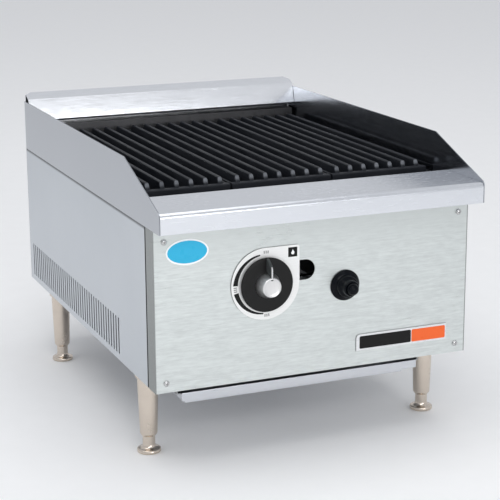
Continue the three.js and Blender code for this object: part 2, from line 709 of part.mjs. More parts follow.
const SHUTTER_BACK = -176;
const SHUTTER_LENGTH = 20;
function airShutter() {
  const profile = sleeve(THROAT_RADIUS + GAP, THROAT_RADIUS + 1.8, SHUTTER_LENGTH);
  const ring = turnedForward(profile, CONTROL_X, SHUTTER_BACK, CONTROL_Z, 24);
  const tab = block([CONTROL_X - 2, CONTROL_X + 2], [SHUTTER_BACK - 6, SHUTTER_BACK - 1],
    [CONTROL_Z + THROAT_RADIUS + 1, CONTROL_Z + THROAT_RADIUS + 8]);
  return join(cut(ring, airWindows()), tab);
}
add('air_shutter', airShutter(), pipeSteel);

const RADIANT_HALF = 52;
const RADIANT_EDGE = 6;
const RADIANT_BOTTOM = 240;
const RADIANT_TOP = 268;
function radiant(centre) {
  const path = [
    [centre - RADIANT_HALF, RADIANT_BOTTOM],
    [centre - RADIANT_HALF + RADIANT_EDGE, RADIANT_BOTTOM],
    [centre, RADIANT_TOP],
    [centre + RADIANT_HALF - RADIANT_EDGE, RADIANT_BOTTOM],
    [centre + RADIANT_HALF, RADIANT_BOTTOM],
  ];
  return alongY(folded(path, 2), WALL_FRONT + 7, WALL_BACK - 8);
}
for (const [side, word] of sides) add(`${word}_radiant`, radiant(side * BURNER_X), castIron);

// An angle across the firebox that the ends of the radiants rest on.
const SUPPORT_TOP = RADIANT_BOTTOM - GAP;
const SUPPORT_DROP = 11.7;
const SUPPORT_DEPTH = 13.5;
const supportFront = WALL_FRONT + SHEET + GAP;
const supportBack = WALL_BACK - GAP;
function radiantSupport(y0, uprightY) {
  const x = [-FIREBOX_HALF + 1, FIREBOX_HALF - 1];
  const plate = block(x, [y0, y0 + SUPPORT_DEPTH], [SUPPORT_TOP - THICK_SHEET, SUPPORT_TOP]);
  const upright = [uprightY, uprightY + THICK_SHEET];
  return join(plate, block(x, upright, [SUPPORT_TOP - SUPPORT_DROP, SUPPORT_TOP]));
}
const frontSupport = radiantSupport(supportFront, supportFront);
const rearSupport = radiantSupport(supportBack - SUPPORT_DEPTH, supportBack - THICK_SHEET);
add('radiant_front_support', frontSupport, galvanised);
add('radiant_rear_support', rearSupport, galvanised);

const PILOT_X = -22;
const PILOT_Y = -96;
const ELECTRODE_X = 2;
const BRACKET_TOP = 194.5;
const SHANK_LENGTH = 8.8;       // of the pilot and the electrode, through the bracket
const SHANK_RADIUS = 3;
const pilotProfile = [
  ...rod(SHANK_RADIUS, SHANK_LENGTH).slice(0, 3),
  [6.5, SHANK_LENGTH], [6.5, 13], [4.5, 14], [4.5, 38], [6.5, 40], [6.5, 46], [0, 46],
];
const electrodeProfile = [
  ...rod(SHANK_RADIUS, SHANK_LENGTH).slice(0, 3),
  [4.5, SHANK_LENGTH], [4.5, 11], [3, 12], [3, 34], [0.9, 35], [0.9, 43], [0, 43],
];
const PILOT_BOTTOM = BRACKET_TOP + GAP - SHANK_LENGTH;
add('pilot_burner', turned(pilotProfile, PILOT_X, PILOT_Y, PILOT_BOTTOM, 14), brass);
add('spark_electrode', turned(electrodeProfile, ELECTRODE_X, PILOT_Y, PILOT_BOTTOM, 12), ceramic);

// The pilot bracket is fixed to the firebox's front wall and passes below the cross tube.
const BRACKET_ARM = [52, 64];
const BRACKET_TAB_TOP = 214;
function pilotBracket() {
  const front = WALL_FRONT + SHEET + GAP;
  const z = [BRACKET_TOP - THICK_SHEET, BRACKET_TOP];
  const arm = block(BRACKET_ARM, [front, PILOT_Y + 7], z);
  const plate = block([PILOT_X - 9, BRACKET_ARM[1]], [PILOT_Y - 7, PILOT_Y + 7], z);
  const tab = block(BRACKET_ARM, [front, front + THICK_SHEET], [z[0], BRACKET_TAB_TOP]);
  const holes = [PILOT_X, ELECTRODE_X].map((x) => {
    return turned(rod(SHANK_RADIUS + GAP, 10), x, PILOT_Y, BRACKET_TOP - 5, 14);
  });
  return cut(join(arm, plate, tab), ...holes);
}
add('pilot_bracket', pilotBracket(), galvanised);

// ---------- gas line, valve and control ----------

const PIPE_Y = -242;
const PIPE_START = -96;
const PIPE_WALL = 2.8;
const PIPE_BEND = 28;
const PIPE_SIDES = 16;
const VALVE_BOTTOM = PIPE_Z + PIPE_RADIUS + GAP;
const pipeCorners = [
  [PIPE_START, PIPE_Y, PIPE_Z],
  [INLET_X, PIPE_Y, PIPE_Z],
  [INLET_X, INLET_END, PIPE_Z],
];
const boreY = [INLET_END - 25, INLET_END + 1];
const inletBore = rodY(PIPE_RADIUS - PIPE_WALL, INLET_X, PIPE_Z, ...boreY, PIPE_SIDES);
const gasPipe = pipe(pipeCorners, PIPE_RADIUS, PIPE_BEND, PIPE_SIDES);
add('gas_pipe', cut(gasPipe, inletBore), pipeSteel);

// A cylinder on the axis of the control, from y0 back to y1.
function onControl(radius, y0, y1, sideCount) {
  return rodY(radius, CONTROL_X, CONTROL_Z, y0, y1, sideCount);
}

const STEM_RADIUS = 3;
const PLUNGER = { radius: 4.2, front: -244, back: -235 };
const STEM_FRONT = -277;
const VALVE_FRONT = -256;
const VALVE_BACK = -228;
const OUTLET_BACK = -220;
function gasValve() {
  const width = [CONTROL_X - 12, CONTROL_X + 12];
  const body = block(width, [VALVE_FRONT, VALVE_BACK], [CONTROL_Z - 14, CONTROL_Z + 13]);
  const saddle = block([CONTROL_X - 8, CONTROL_X + 8], [-250, -234], [VALVE_BOTTOM, CONTROL_Z]);
  const nose = onControl(8.5, VALVE_FRONT - 4.5, VALVE_FRONT + 1, 18);
  const outlet = onControl(6, VALVE_BACK - 1, OUTLET_BACK, 14);
  const bore = onControl(PLUNGER.radius + 0.4, VALVE_FRONT - 6, PLUNGER.back + 4, 16);
  const gasWay = onControl(2, PLUNGER.back + 3, OUTLET_BACK + 1, 10);
  return cut(join(body, saddle, nose, outlet), bore, gasWay);
}
add('gas_valve', gasValve(), brass);

const ORIFICE_LENGTH = 12;
const ORIFICE_BACK = OUTLET_BACK + GAP + ORIFICE_LENGTH;
const orificeProfile = [[0, 0], [2, 0], [4.5, 4], [7, 5], [7, ORIFICE_LENGTH], [0, ORIFICE_LENGTH]];
function orifice() {
  const body = turnedForward(orificeProfile, CONTROL_X, ORIFICE_BACK, CONTROL_Z, 12);
  return cut(body, onControl(1, OUTLET_BACK, ORIFICE_BACK + 1, 8));
}
add('burner_orifice', orifice(), brass);

add('valve_plunger', onControl(PLUNGER.radius, PLUNGER.front, PLUNGER.back, 16), brass);
add('valve_stem', onControl(STEM_RADIUS, STEM_FRONT, PLUNGER.front - GAP, 14), aluminium);

// The control bezel: a round plate with one square corner.
const BEZEL_RADIUS = 42;
const BEZEL_FRONT = PANEL_FRONT - GAP - SHEET;
const BEZEL_CORNER = 3;
function controlBezel() {
  const reach = BEZEL_RADIUS - BEZEL_CORNER;
  const corner = arc(CONTROL_X + reach, CONTROL_Z + reach, BEZEL_CORNER, 0, 90, 4);
  const round = arc(CONTROL_X, CONTROL_Z, BEZEL_RADIUS, 90, 348, 42);
  const outline = [[CONTROL_X + BEZEL_RADIUS, CONTROL_Z], ...corner, ...round];
  const plate = alongY(outline, BEZEL_FRONT, PANEL_FRONT - GAP);
  return cut(plate, onControl(STEM_HOLE + 0.5, BEZEL_FRONT - 1, PANEL_FRONT + 1));
}
add('control_bezel', controlBezel(), dialWhite);

// The knob: a thin black flange, a tapered grip and a pointer blade that points up when off.
const KNOB_BACK = -269;
const FLANGE_RADIUS = 31.8;
const GRIP_FRONT = -285;
const BLADE_HALF = 1.5;
function controlKnob() {
  const depth = KNOB_BACK - GRIP_FRONT;
  const profile = [
    [0, 0], [FLANGE_RADIUS - 0.6, 0], [FLANGE_RADIUS, 0.7], [FLANGE_RADIUS - 0.4, 1.6],
    [14.6, 2.2], [11.2, depth - 0.8], [10.4, depth], [0, depth],
  ];
  const body = turnedForward(profile, CONTROL_X, KNOB_BACK, CONTROL_Z, 40);
  const bladeTop = CONTROL_Z + FLANGE_RADIUS - 1;
  const bladeOutline = [
    [KNOB_BACK - 1.5, CONTROL_Z + 4],
    [GRIP_FRONT + 0.6, CONTROL_Z + 4],
    [GRIP_FRONT + 0.6, CONTROL_Z + 24],
    [KNOB_BACK - 4, bladeTop],
    [KNOB_BACK - 1.5, bladeTop],
  ];
  const blade = alongX(bladeOutline, CONTROL_X - BLADE_HALF, CONTROL_X + BLADE_HALF);
  return cut(join(body, blade), onControl(STEM_RADIUS + GAP, STEM_FRONT - 0.4, KNOB_BACK + 1, 14));
}
add('control_knob', controlKnob(), blackPlastic);

// ---------- igniter ----------

const BUTTON_RADIUS = 7;
const BUTTON_BACK = -266.9;
const BODY_BACK = -215.6;
const SHOULDER = PANEL_FRONT - GAP; // back face of the collar, against the front panel
const BODY_RADIUS = 10;
const WELL_RADIUS = BUTTON_RADIUS + 0.35;
function igniterBody() {
  const face = BODY_BACK - SHOULDER;
  const profile = [
    [0, 0], [9.2, 0], [9.2, 30], [BODY_RADIUS, 30], [BODY_RADIUS, face], [18.3, face],
    [18.3, face + 1.5], [16.6, face + 4.3], [13.4, face + 4.7], [12.4, face + 9.3],
    [9.6, face + 11.3], [9, face + 18.3], [WELL_RADIUS, face + 18.9], [WELL_RADIUS, 45], [0, 45],
  ];
  return turnedForward(profile, IGNITER_X, BODY_BACK, IGNITER_Z, 28);
}
add('igniter_body', igniterBody(), blackPlastic);

const NUT_FRONT = PANEL_FRONT + THICK_SHEET + GAP;
const NUT_BACK = NUT_FRONT + 5;
const nutBlank = rodY(14, IGNITER_X, IGNITER_Z, NUT_FRONT, NUT_BACK, 6);
const nutBore = rodY(BODY_RADIUS + GAP, IGNITER_X, IGNITER_Z, NUT_FRONT - 1, NUT_BACK + 1, 24);
add('igniter_nut', cut(nutBlank, nutBore), pipeSteel);

const buttonProfile = [
  [0, 0], [BUTTON_RADIUS, 0], [BUTTON_RADIUS, 18.5], [6.2, 21.5], [4, 23.6], [0, 24.4],
];
const button = turnedForward(buttonProfile, IGNITER_X, BUTTON_BACK, IGNITER_Z, 24);
add('igniter_button', button, blackPlastic);

// The spark lead and the pilot's gas line run below the burner to the pilot bracket.
const LINE_END = PILOT_BOTTOM - GAP;
const LINE_RUN = LINE_END - 7;
const LINE_TURN_Y = -150;
const LINE_BEND = 5;
const leadCorners = [
  [IGNITER_X, BODY_BACK + GAP, IGNITER_Z],
  [IGNITER_X, -200, IGNITER_Z],
  [ELECTRODE_X, LINE_TURN_Y, LINE_RUN],
  [ELECTRODE_X, PILOT_Y, LINE_RUN],
  [ELECTRODE_X, PILOT_Y, LINE_END],
];
const TAPPING_Z = 214;          // where the pilot's line leaves the valve
const TAPPING_TURN_X = -38;
const pilotLineCorners = [
  [CONTROL_X + 12 + GAP, PIPE_Y, TAPPING_Z],
  [TAPPING_TURN_X, PIPE_Y, TAPPING_Z],
  [TAPPING_TURN_X, -210, LINE_RUN],
  [PILOT_X, LINE_TURN_Y, LINE_RUN],
  [PILOT_X, PILOT_Y, LINE_RUN],
  [PILOT_X, PILOT_Y, LINE_END],
];
add('igniter_lead', pipe(leadCorners, 1.4, LINE_BEND, 8), blackPlastic);
add('pilot_tube', pipe(pilotLineCorners, 2, LINE_BEND, 8), copperTube);

// ---------- trim ----------

const SCREW_SHANK = 9;
const screwProfile = [
  [0, 0], [2, 0], [2, SCREW_SHANK], [3.5, SCREW_SHANK], [3.4, SCREW_SHANK + 1],
  [2.2, SCREW_SHANK + 2], [0, SCREW_SHANK + 2.4],
];
for (const [side, word] of sides) {
  for (const [height, z] of SCREW_HEIGHTS) {
    const back = PANEL_FRONT - GAP + SCREW_SHANK;
    const screw = turnedForward(screwProfile, side * SCREW_X, back, z, 16);
    add(`${height}_${word}_panel_screw`, screw, nickel);
  }
}

const BADGE_X = [51, 171];
const BADGE_Z = [115, 135.5];
const BADGE_CORNER = 5;
function badge() {
  const [x0, x1] = BADGE_X;
  const [z0, z1] = BADGE_Z;
  const corner = arc(x0 + BADGE_CORNER, z1 - BADGE_CORNER, BADGE_CORNER, 90, 180, 4);
  const outline = [[x0, z0], [x1, z0], [x1, z1], ...corner];
  return alongY(outline, PANEL_FRONT - GAP - 1, PANEL_FRONT - GAP);
}
add('badge_plate', badge(), badgeSilver);

const STICKER = { x: -157, z: 257, width: 50.6, height: 29.7 };
function sticker() {
  const shape = new THREE.Shape();
  shape.absellipse(STICKER.x, STICKER.z, STICKER.width / 2, STICKER.height / 2, 0, Math.PI * 2);
  const outline = shape.getPoints(16).slice(1).map((point) => [point.x, point.y]);
  return alongY(outline, PANEL_FRONT - 0.5, PANEL_FRONT - 0.1);
}
add('oval_sticker', sticker(), stickerBlue);

export default grill;
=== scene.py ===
"""The looks of a countertop gas charbroiler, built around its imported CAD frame.

Metres, in the frame of the CAD: +X right, +Y to the back, +Z up, floor at z = 0.
"""
import math

import bmesh
import bpy
from mathutils import Matrix, Vector


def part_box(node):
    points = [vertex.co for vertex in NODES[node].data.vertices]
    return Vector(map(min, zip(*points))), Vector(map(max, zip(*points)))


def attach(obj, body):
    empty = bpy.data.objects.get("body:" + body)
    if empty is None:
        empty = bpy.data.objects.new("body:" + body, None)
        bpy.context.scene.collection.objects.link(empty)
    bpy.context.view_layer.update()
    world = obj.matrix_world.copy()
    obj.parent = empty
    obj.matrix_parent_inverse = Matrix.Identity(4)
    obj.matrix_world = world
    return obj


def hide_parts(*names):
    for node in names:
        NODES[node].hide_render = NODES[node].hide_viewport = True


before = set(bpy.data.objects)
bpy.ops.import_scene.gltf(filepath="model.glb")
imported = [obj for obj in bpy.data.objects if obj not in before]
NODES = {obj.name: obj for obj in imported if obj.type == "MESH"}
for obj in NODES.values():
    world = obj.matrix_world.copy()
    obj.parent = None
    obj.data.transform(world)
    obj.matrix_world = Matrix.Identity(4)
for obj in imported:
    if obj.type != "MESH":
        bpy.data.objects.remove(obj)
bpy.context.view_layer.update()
SCENE = bpy.context.scene
MM = 0.001


# ---------- shader helpers ----------


class Shader:
    """A node material in the making. Sockets are given as values or as other nodes' outputs."""

    def __init__(self, name, **settings):
        self.material = bpy.data.materials.new(name)
        self.material.use_nodes = True
        self.tree = self.material.node_tree
        self.tree.nodes.clear()
        output = self.tree.nodes.new("ShaderNodeOutputMaterial")
        self.surface = self.add("BsdfPrincipled", **settings)
        self.tree.links.new(self.surface.outputs["BSDF"], output.inputs["Surface"])
        self.place = self.add("TexCoord").outputs["Object"]

    def set(self, node, socket, value):
        target = node.inputs[socket]
        if isinstance(value, bpy.types.NodeSocket):
            self.tree.links.new(value, target)
        else:
            target.default_value = value

    def add(self, kind, sockets=None, **values):
        node = self.tree.nodes.new("ShaderNode" + kind)
        for socket, value in (sockets or {}).items():
            self.set(node, socket, value)
        for socket, value in values.items():
            self.set(node, socket.replace("_", " "), value)
        return node

    def stretched(self, scale):
        """The object's own coordinates, scaled per axis in features per metre."""
        return self.add("Mapping", Vector=self.place, Scale=scale).outputs["Vector"]

    def noise(self, scale, detail, roughness=0.5):
        """Fractal noise from 0 to 1. scale is in features per metre, one number or one per axis."""
        vector = self.stretched(scale if isinstance(scale, tuple) else (scale,) * 3)
        node = self.add("TexNoise", Vector=vector, Scale=1.0, Detail=detail, Roughness=roughness)
        return node.outputs["Fac"]

    def span(self, value, low, high, start=0.0, end=1.0):
        """value from start to end becomes low to high."""
        node = self.add("MapRange", {"Value": value, "From Min": start, "From Max": end,
                                     "To Min": low, "To Max": high})
        return node.outputs["Result"]

    def ramp(self, value, start, end):
        """0 to 1 as value goes from start to end."""
        return self.span(value, 0.0, 1.0, start, end)

    def mix(self, factor, first, second):
        node = self.tree.nodes.new("ShaderNodeMix")
        node.data_type = "RGBA"
        self.set(node, 0, factor)
        self.set(node, 6, first)
        self.set(node, 7, second)
        return node.outputs[2]

    def shades(self, factor, color, dark, light):
        """A colour, from dark to light times its own brightness as factor goes from 0 to 1."""
        return self.mix(factor, tone(color, dark), tone(color, light))

    def math(self, operation, first, second=0.0):
        node = self.tree.nodes.new("ShaderNodeMath")
        node.operation = operation
        self.set(node, 0, first)
        self.set(node, 1, second)
        return node.outputs[0]

    def total(self, first, second):
        return self.math("ADD", first, second)

    def product(self, first, second):
        return self.math("MULTIPLY", first, second)

    def bump(self, height, strength, distance, normal=None):
        node = self.add("Bump", Height=height, Strength=strength, Distance=distance)
        if normal is not None:
            self.tree.links.new(normal, node.inputs["Normal"])
        return node.outputs["Normal"]

    def finish(self, color, roughness=None, normal=None):
        for socket, value in (("Base Color", color), ("Roughness", roughness), ("Normal", normal)):
            if value is not None:
                self.set(self.surface, socket, value)
        return self.material


def rgba(red, green, blue):
    return (red, green, blue, 1.0)


def tone(color, factor):
    return rgba(*(min(1.0, channel * factor) for channel in color[:3]))


# ---------- materials ----------

# Brushing marks per metre, along their length and across it, of two sizes.
ALONG_GRAIN, FINE_GRAIN = 14.0, 1100.0
ALONG_COARSE, COARSE_GRAIN = 70.0, 380.0
FINE_SHARE = 0.4  # of the fine marks in the whole grain


def grain_scale(axis, along, across):
    return tuple(along if i == "XYZ".index(axis) else across for i in range(3))


def brushed_steel(name, color, axis, roughness, mottle=0.02, streak=0.03, bump=0.06, painted_shade=()):
    """Stainless sheet brushed along one axis, with a faint mottle and soft handling marks.

    The bands of painted shade are listed as (axis, start, end, tone): the tone is reached as that
    coordinate goes from start to end in metres. X counts outwards from the middle on both sides.
    """
    shader = Shader(name, Metallic=1.0)
    fine = shader.noise(grain_scale(axis, ALONG_GRAIN, FINE_GRAIN), detail=3.0, roughness=0.6)
    coarse = shader.noise(grain_scale(axis, ALONG_COARSE, COARSE_GRAIN), detail=3.0, roughness=0.6)
    cloud = shader.noise(9.0, detail=3.0)
    grain = shader.total(shader.product(fine, FINE_SHARE), shader.product(coarse, 1 - FINE_SHARE))
    tint = shader.shades(shader.ramp(grain, 0.35, 0.65), color, 1 - streak, 1 + streak)
    tint = shader.mix(shader.span(cloud, 0.0, mottle * 4, 0.35, 0.75), tint, tone(color, 0.82))
    place = shader.add("SeparateXYZ", Vector=shader.place)
    # Bands of painted shade, each darker as its coordinate goes from start to end.
    for letter, start, end, level in painted_shade:
        reach = place.outputs[letter]
        if letter == "X":
            reach = shader.math("ABSOLUTE", reach)
        tint = shader.mix(shader.ramp(reach, start, end), tint, tone(color, level))
    rough = shader.total(shader.span(grain, roughness - 0.06, roughness + 0.06, 0.3, 0.7),
                         shader.span(cloud, -mottle, mottle, 0.3, 0.7))
    return shader.finish(tint, rough, shader.bump(grain, bump, 0.00012))


def zinc_sheet(name, color):
    """Galvanised sheet with soft spangles, dulled by heat and grease."""
    shader = Shader(name, Metallic=0.85)
    cells = shader.add("TexVoronoi", Vector=shader.stretched((120.0,) * 3), Scale=1.0, Randomness=1.0)
    spangle = shader.span(cells.outputs["Color"], 0.0, 1.0)
    cloud = shader.noise(14.0, detail=4.0)
    tint = shader.shades(spangle, color, 0.88, 1.08)
    tint = shader.mix(shader.span(cloud, 0.0, 0.5, 0.45, 0.8), tint, tone(color, 0.55))
    rough = shader.total(shader.span(spangle, 0.38, 0.52), shader.span(cloud, -0.06, 0.1, 0.3, 0.8))
    return shader.finish(tint, rough, shader.bump(cloud, 0.15, 0.0004))


# Painted shade, and a painted highlight on the bars, that the soft light doesn't give:
# where a tone sets in and where it is full, in metres.
panel_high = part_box("front_panel")[1]
ledge_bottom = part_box("front_ledge")[0].z
guard_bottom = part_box("left_splash_guard")[0].z
grate_low, grate_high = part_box("left_grate")
RETURN_BAND = (panel_high.x - 1.5 * MM, panel_high.x - 0.8 * MM)  # outside of the panel's returned sides
SEAM_BAND = (panel_high.y + 3.9 * MM, panel_high.y + 3.3 * MM)  # side panel's lap, inside the open seam
UNDER_LEDGE_BAND = (ledge_bottom - 51 * MM, ledge_bottom - 1 * MM)
UNDER_GUARD_BAND = (guard_bottom - 6 * MM, guard_bottom - 3.6 * MM)
NOSE_BAND = (grate_low.y + 11.5 * MM, grate_low.y + 9 * MM)  # front ends of the bars
CROWN_BAND = (grate_high.z - 6 * MM, grate_high.z - 3.5 * MM)  # bars above the rail


def cast_iron(name, color, worn, roughness, nose_highlight=None):
    """Sand-cast iron, seasoned black, with a pebbled skin and rubbed patches.

    The last argument is a paler colour, painted in patches on the front ends of the bars as a highlight.
    """
    shader = Shader(name, sockets={"Specular IOR Level": 0.22})
    pebble = shader.noise(900.0, detail=3.0, roughness=0.6)
    lumps = shader.noise(160.0, detail=3.0)
    patch = shader.noise(22.0, detail=4.0, roughness=0.6)
    tint = shader.mix(shader.ramp(patch, 0.35, 0.7), color, worn)
    tint = shader.mix(shader.span(pebble, 0.0, 0.6, 0.45, 0.75), tint, tone(color, 0.5))
    # Painted highlight on the front ends of the bars.
    if nose_highlight:
        place = shader.add("SeparateXYZ", Vector=shader.place)
        ends = shader.product(shader.ramp(place.outputs["Y"], *NOSE_BAND),
                              shader.ramp(place.outputs["Z"], *CROWN_BAND))
        ends = shader.product(ends, shader.span(patch, 0.5, 1.0, 0.35, 0.6))
        tint = shader.mix(ends, tint, nose_highlight)
    rough = shader.total(shader.span(patch, roughness - 0.08, roughness + 0.14, 0.3, 0.7),
                         shader.span(pebble, -0.05, 0.08, 0.3, 0.7))
    normal = shader.bump(pebble, 0.2, 0.0002)
    normal = shader.bump(lumps, 0.2, 0.0004, normal)
    return shader.finish(tint, rough, normal)


def turned_metal(name, color, roughness, ring=700.0, tarnish=0.15, depth=1.0):
    """Machined or plated metal with fine turning marks across Z and a little tarnish.

    ring is the turning marks per metre, and depth how strongly they show.
    """
    shader = Shader(name, Metallic=1.0)
    rings = shader.noise((8.0, 8.0, ring), detail=2.0)
    cloud = shader.noise(45.0, detail=3.0)
    tint = shader.shades(shader.ramp(rings, 0.3, 0.7), color, 1 - 0.07 * depth, 1 + 0.05 * depth)
    tint = shader.mix(shader.span(cloud, 0.0, tarnish, 0.4, 0.75), tint, tone(color, 0.6))
    uneven = 0.05 * depth
    rough = shader.total(shader.span(rings, roughness - uneven, roughness + uneven, 0.3, 0.7),
                         shader.span(cloud, -0.03, 0.06, 0.3, 0.7))
    return shader.finish(tint, rough, shader.bump(rings, 0.08 * depth, 0.0001))


def moulded_plastic(name, color, roughness, coat=0.0, specular=0.2):
    """Moulded thermoset with a fine matt texture and faint handling marks."""
    shader = Shader(name, sockets={"Coat Weight": coat, "Coat Roughness": 0.12,
                                    "Specular IOR Level": specular})
    texture = shader.noise(2600.0, detail=2.0)
    cloud = shader.noise(60.0, detail=3.0)
    tint = shader.mix(shader.span(cloud, 0.0, 0.5, 0.35, 0.7), color, tone(color, 1.35))
    rough = shader.total(shader.span(texture, roughness - 0.04, roughness + 0.05, 0.3, 0.7),
                         shader.span(cloud, -0.04, 0.07, 0.3, 0.7))
    return shader.finish(tint, rough, shader.bump(texture, 0.12, 0.0001))


def printed(name, color, roughness=0.4):
    """Screen-printed ink, slightly uneven in gloss and density."""
    shader = Shader(name, sockets={"Specular IOR Level": 0.2})
    speckle = shader.noise(1800.0, detail=2.0)
    cloud = shader.noise(120.0, detail=2.0)
    tint = shader.mix(shader.span(speckle, 0.0, 0.35, 0.4, 0.8), color, tone(color, 1.3))
    return shader.finish(tint, shader.span(cloud, roughness - 0.08, roughness + 0.1, 0.3, 0.7),
                         shader.bump(speckle, 0.08, 0.00005))


def two_faced(name, front_color, edge_shade, roughness):
    """A pale printed plate whose edge faces are darkened with painted shade."""
    shader = Shader(name, Metallic=0.25)
    normal = shader.add("SeparateXYZ", Vector=shader.add("NewGeometry").outputs["Normal"])
    facing = shader.ramp(shader.math("ABSOLUTE", normal.outputs["Y"]), 0.6, 0.9)
    grain = shader.noise(grain_scale("X", 60.0, 1200.0), detail=2.0)
    face = shader.shades(shader.ramp(grain, 0.3, 0.7), front_color, 0.97, 1.02)
    # Painted shade on the faces that don't face the front.
    return shader.finish(shader.mix(facing, edge_shade, face),
                         shader.span(grain, roughness - 0.05, roughness + 0.05, 0.3, 0.7),
                         shader.bump(grain, 0.05, 0.00005))


# The front panel: painted shade under the ledge and on the outside of its returned sides.
FRONT_STEEL = brushed_steel("front_steel", rgba(0.67, 0.705, 0.695), "X", 0.34, mottle=0.05, streak=0.10,
                            painted_shade=[("Z", *UNDER_LEDGE_BAND, 0.86), ("X", *RETURN_BAND, 0.42)])
LEDGE_STEEL = brushed_steel("ledge_steel", rgba(0.765, 0.785, 0.825), "X", 0.24,
                            mottle=0.01, streak=0.015, bump=0.01)
SPLASH_STEEL = brushed_steel("splash_steel", rgba(0.84, 0.855, 0.885), "X", 0.22,
                             mottle=0.01, streak=0.02, bump=0.03)
# The side panels: painted shade under the guards and on the lap inside the open seam.
SIDE_STEEL = brushed_steel("side_steel", rgba(0.595, 0.625, 0.66), "Y", 0.36,
                           painted_shade=[("Z", *UNDER_GUARD_BAND, 0.25), ("Y", *SEAM_BAND, 0.07)])
GUARD_STEEL = brushed_steel("guard_steel", rgba(0.455, 0.475, 0.51), "Y", 0.20,
                            mottle=0.01, streak=0.02, bump=0.03)
TRAY_STEEL = brushed_steel("tray_steel", rgba(0.64, 0.655, 0.69), "X", 0.33)
ZINC = zinc_sheet("zinc_sheet", rgba(0.42, 0.44, 0.45))
HOT_STEEL = zinc_sheet("hot_steel", rgba(0.10, 0.10, 0.105))
# The grates get a painted highlight on the front ends of their bars.
GRATE_IRON = cast_iron("grate_iron", rgba(0.008, 0.010, 0.014), rgba(0.016, 0.018, 0.024), 0.46,
                       nose_highlight=rgba(0.17, 0.18, 0.20))
BURNER_IRON = cast_iron("burner_iron", rgba(0.05, 0.047, 0.045), rgba(0.11, 0.07, 0.05), 0.6)
NICKEL = turned_metal("leg_nickel", rgba(0.69, 0.61, 0.53), 0.22, ring=500.0, depth=0.2)
SCREW_METAL = turned_metal("screw_metal", rgba(0.62, 0.62, 0.62), 0.25)
BRASS = turned_metal("brass", rgba(0.70, 0.55, 0.26), 0.32, tarnish=0.4)
PIPE_STEEL = turned_metal("pipe_steel", rgba(0.08, 0.078, 0.075), 0.48, tarnish=0.5)
COPPER = turned_metal("copper", rgba(0.70, 0.40, 0.28), 0.3, tarnish=0.4)
ALUMINIUM = turned_metal("aluminium", rgba(0.76, 0.76, 0.77), 0.3)
SILVER_KNOB = brushed_steel("knob_silver", rgba(0.74, 0.735, 0.73), "Z", 0.34)
BLACK_KNOB = moulded_plastic("knob_black", rgba(0.009, 0.009, 0.009), 0.42)
POINTER_GREY = moulded_plastic("pointer_grey", rgba(0.060, 0.066, 0.066), 0.3, coat=0.15)
GLOSS_BLACK = moulded_plastic("gloss_black", rgba(0.002, 0.003, 0.005), 0.12, specular=0.12)
CERAMIC = moulded_plastic("ceramic", rgba(0.80, 0.77, 0.70), 0.3, coat=0.4)
# The dial and badge plates: painted shade on their edge faces.
DIAL_PLATE = two_faced("dial_plate", rgba(0.86, 0.86, 0.85), rgba(0.10, 0.10, 0.10), 0.42)
BADGE_PLATE = two_faced("badge_plate", rgba(0.74, 0.75, 0.76), rgba(0.25, 0.25, 0.25), 0.3)
INK_BLACK = printed("ink_black", rgba(0.006, 0.006, 0.006))
INK_GREY = printed("ink_grey", rgba(0.30, 0.30, 0.30))
INK_ORANGE = printed("ink_orange", rgba(0.85, 0.14, 0.035), 0.35)
STICKER_WHITE = printed("sticker_white", rgba(0.93, 0.95, 0.95), 0.35)
STICKER_BLUE = printed("sticker_blue", rgba(0.04, 0.45, 0.71), 0.3)


# ---------- mesh helpers ----------


def new_piece(name, verts, faces, material, body, replaces=(), bevel=0.0, smooth=30.0):
    """A mesh from points in millimetres, welded, bevelled, riding on a body."""
    mesh = bpy.data.meshes.new(name)
    mesh.from_pydata([Vector(v) * MM for v in verts], [], faces)
    cleaner = bmesh.new()
    cleaner.from_mesh(mesh)
    bmesh.ops.remove_doubles(cleaner, verts=cleaner.verts, dist=1e-6)
    bmesh.ops.recalc_face_normals(cleaner, faces=cleaner.faces)
    cleaner.to_mesh(mesh)
    cleaner.free()
    mesh.materials.append(material)
    piece = bpy.data.objects.new(name, mesh)
    SCENE.collection.objects.link(piece)
    polish(piece, bevel, smooth)
    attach(piece, body)
    if replaces:
        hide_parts(*replaces)
    return piece


def polish(piece, bevel, smooth=30.0):
    """Rounds the edges sharper than an angle, and shades across the soft ones."""
    for face in piece.data.polygons:
        face.use_smooth = True
    if bevel > 0:
        edges = piece.modifiers.new("rounded_edges", "BEVEL")
        edges.width = bevel * MM
        edges.segments = 2
        edges.limit_method = "ANGLE"
        edges.angle_limit = math.radians(smooth)
    normals = piece.modifiers.new("even_shading", "WEIGHTED_NORMAL")
    normals.keep_sharp = True
    normals.weight = 80


def finish_node(name, material, bevel=0.3):
    """Keeps a CAD node's shape, with rounded edges and its material."""
    node = NODES[name]
    weld = node.modifiers.new("weld", "WELD")
    weld.merge_threshold = 2e-6
    for slot in node.material_slots:
        slot.material = material
    polish(node, bevel)


def ring(radius, height, count):
    step = 2 * math.pi / count
    return [(radius * math.cos(i * step), radius * math.sin(i * step), height) for i in range(count)]


def strip_faces(rows, count):
    """Quads between consecutive closed rows of the same number of points."""
    faces = []
    for row in range(rows - 1):
        for i in range(count):
            j = (i + 1) % count
            faces.append((row * count + i, row * count + j, (row + 1) * count + j, (row + 1) * count + i))
    return faces


